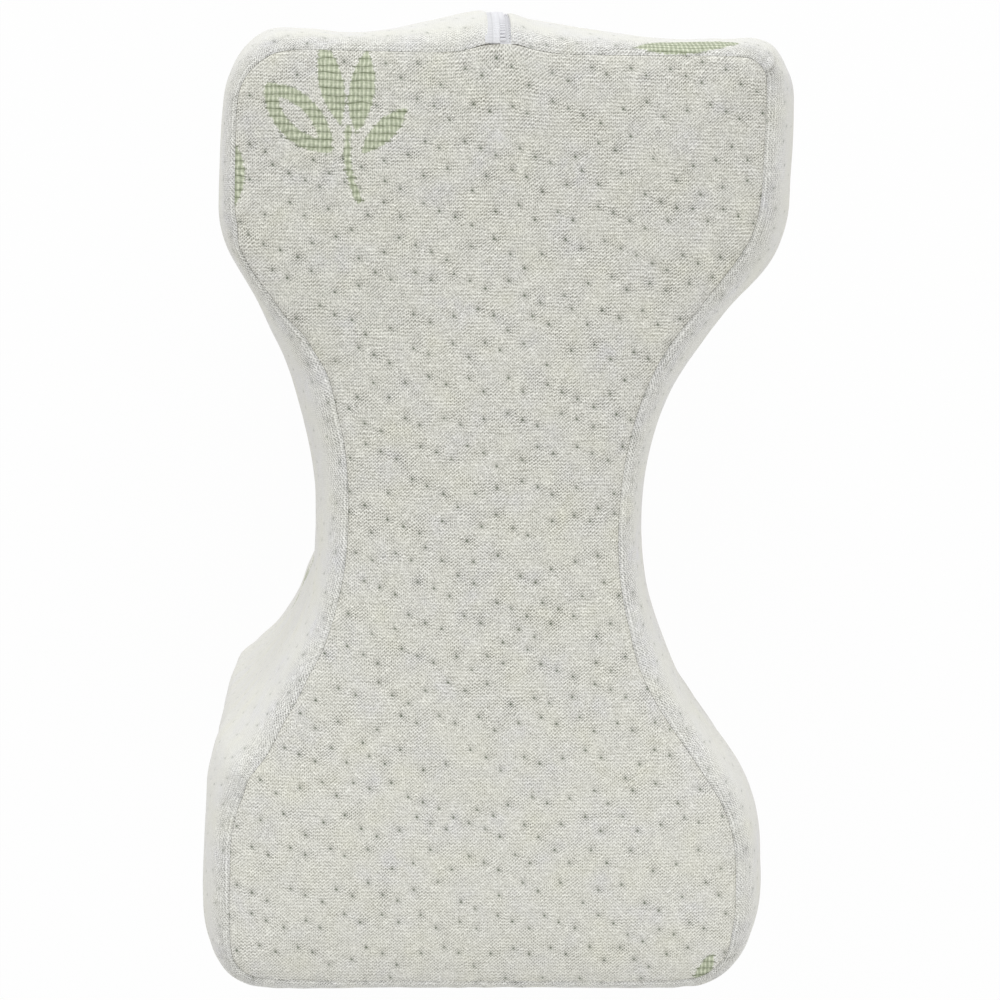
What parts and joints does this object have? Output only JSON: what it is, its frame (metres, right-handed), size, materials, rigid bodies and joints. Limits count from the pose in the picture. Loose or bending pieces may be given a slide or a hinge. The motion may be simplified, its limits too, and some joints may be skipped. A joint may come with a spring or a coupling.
{
  "type": "knee pillow",
  "caption": "Hourglass knee pillow of filled foam in a pale knitted cover, with waisted leg rests and a zip down one end wall.",
  "frame": {"origin": "centre of the part's box, on the surface that the pillow's back lies on", "axes": "+Z out of the upper hourglass face, +Y along the face towards the end wall with the zip, +X across the face"},
  "size_m": [0.1538, 0.2612, 0.2],
  "materials": {
    "knitted_cover": "pale knitted cloth",
    "face_cloth": "pale knitted cloth with small tucks",
    "zip_tape": "white woven tape",
    "zip_coil": "white nylon coil",
    "zip_metal": "white enamel"
  },
  "bodies": {
    "root": {"filled_boxing": "knitted_cover", "front_panel": "face_cloth", "back_panel": "face_cloth", "zip_tape_left": "zip_tape", "zip_tape_right": "zip_tape", "zip_coil_left": "zip_coil", "zip_coil_right": "zip_coil", "zip_slider": "zip_metal", "zip_pull": "zip_metal"}
  },
  "joints": []
}
